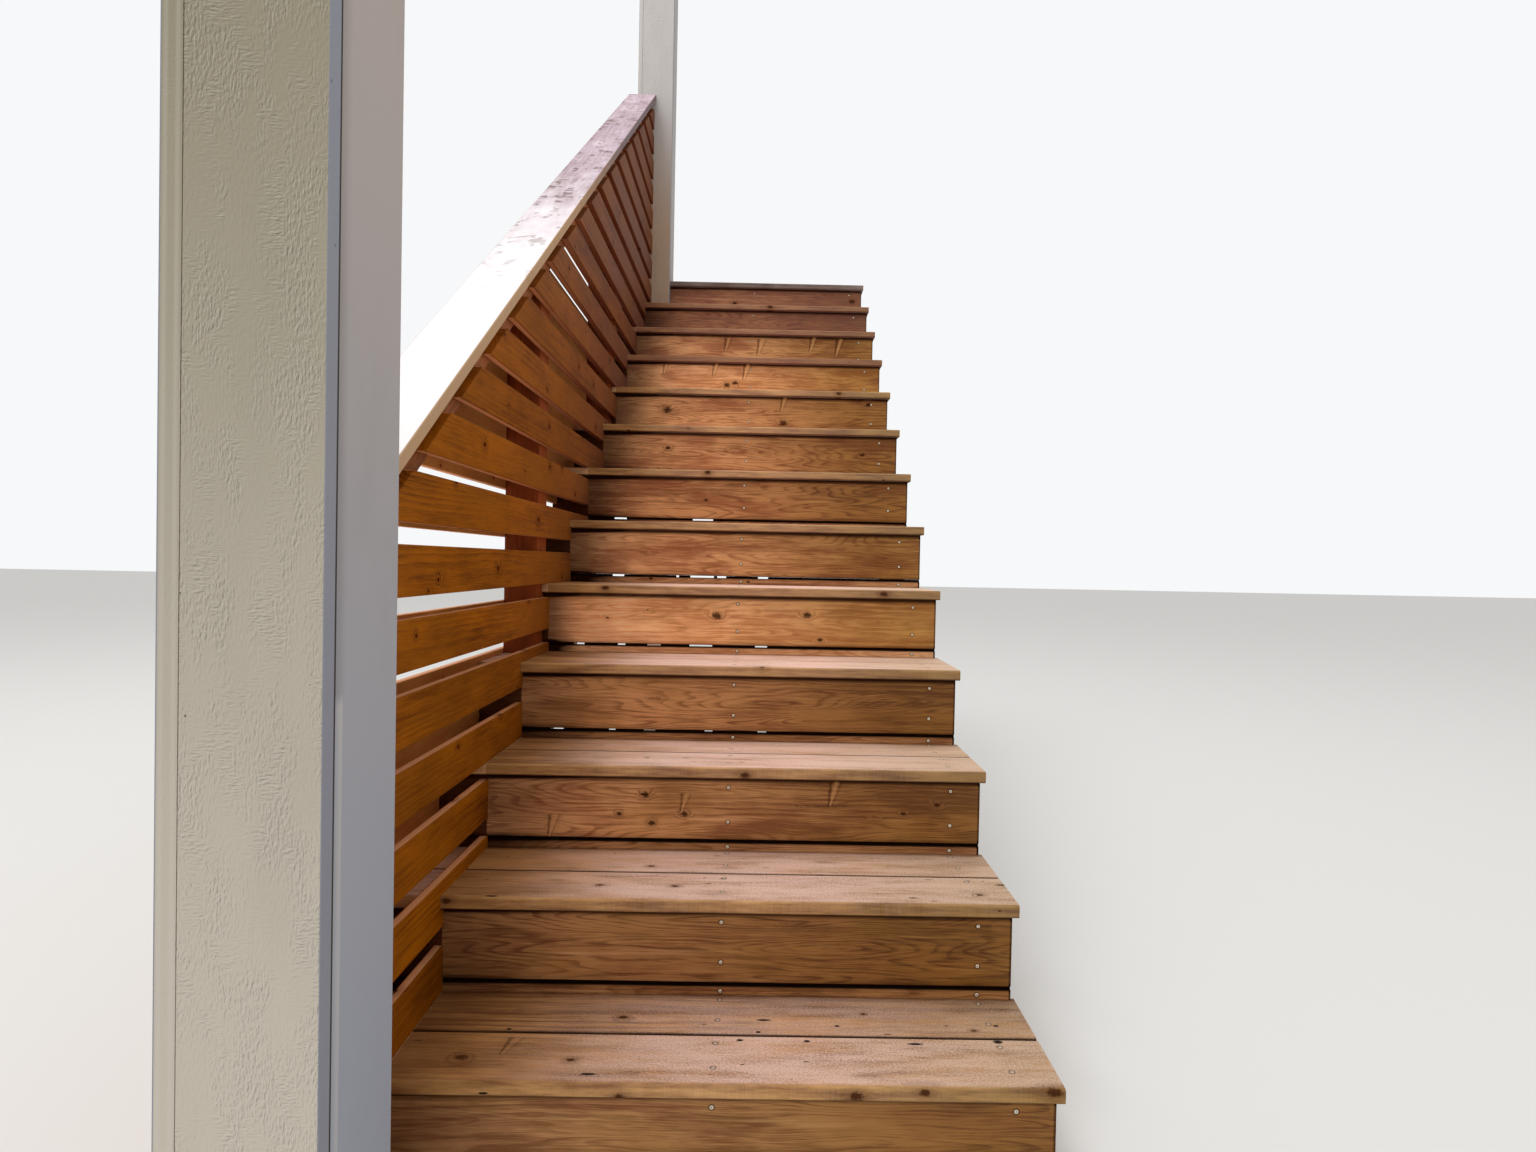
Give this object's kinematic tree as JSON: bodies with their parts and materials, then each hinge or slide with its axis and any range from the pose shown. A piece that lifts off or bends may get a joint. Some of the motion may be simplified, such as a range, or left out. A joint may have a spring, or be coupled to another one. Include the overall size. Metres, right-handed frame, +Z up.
{
  "type": "wooden deck stairs",
  "caption": "Straight flight of timber deck stairs with closed risers on three sawtooth stringers, a slatted guard with a sloping cap on one side and two cased posts.",
  "frame": {"origin": "set-out point: on the ground, at the front of the middle stringer's foot, on its centre line", "axes": "+Z up, +Y horizontally up the flight, +X towards the wall side, on the right of a person who climbs"},
  "size_m": [1.2296, 3.5572, 4.2765],
  "materials": {
    "tread_boards": "clear-stained softwood, worn satin",
    "riser_boards": "brown-stained softwood, satin",
    "frame_timber": "rough-sawn framing softwood, unfinished",
    "weathered_board": "weathered grey-brown softwood",
    "guard_timber": "stained softwood, matt",
    "slats": "oiled knotty softwood, satin",
    "cap_board": "stained softwood, worn satin",
    "post_paint": "rough-sawn timber, painted off-white, matt"
  },
  "bodies": {
    "root": {"tread_01": "tread_boards", "tread_02": "tread_boards", "tread_03": "tread_boards", "tread_04": "tread_boards", "tread_05": "tread_boards", "tread_06": "tread_boards", "tread_07": "tread_boards", "tread_08": "tread_boards", "tread_09": "tread_boards", "tread_10": "tread_boards", "tread_11": "tread_boards", "tread_12": "tread_boards", "riser_01": "riser_boards", "riser_02": "riser_boards", "riser_03": "riser_boards", "riser_04": "riser_boards", "riser_05": "riser_boards", "riser_06": "riser_boards", "riser_07": "riser_boards", "riser_08": "riser_boards", "riser_09": "riser_boards", "riser_10": "riser_boards", "riser_11": "riser_boards", "riser_12": "riser_boards", "riser_13": "riser_boards", "stringer_left": "frame_timber", "stringer_middle": "frame_timber", "stringer_right": "frame_timber", "hanger_board": "frame_timber", "rim_joist": "frame_timber", "landing_edge_board": "weathered_board", "guard_post_foot": "guard_timber", "guard_post_lower": "guard_timber", "guard_post_upper": "guard_timber", "guard_post_head": "guard_timber", "guard_inner_slats": "slats", "guard_outer_slats": "slats", "guard_subrail": "guard_timber", "guard_cap_rail": "cap_board", "foot_post_core": "frame_timber", "foot_post_casing": "post_paint", "head_post_core": "frame_timber", "head_post_casing": "post_paint"}
  },
  "joints": []
}
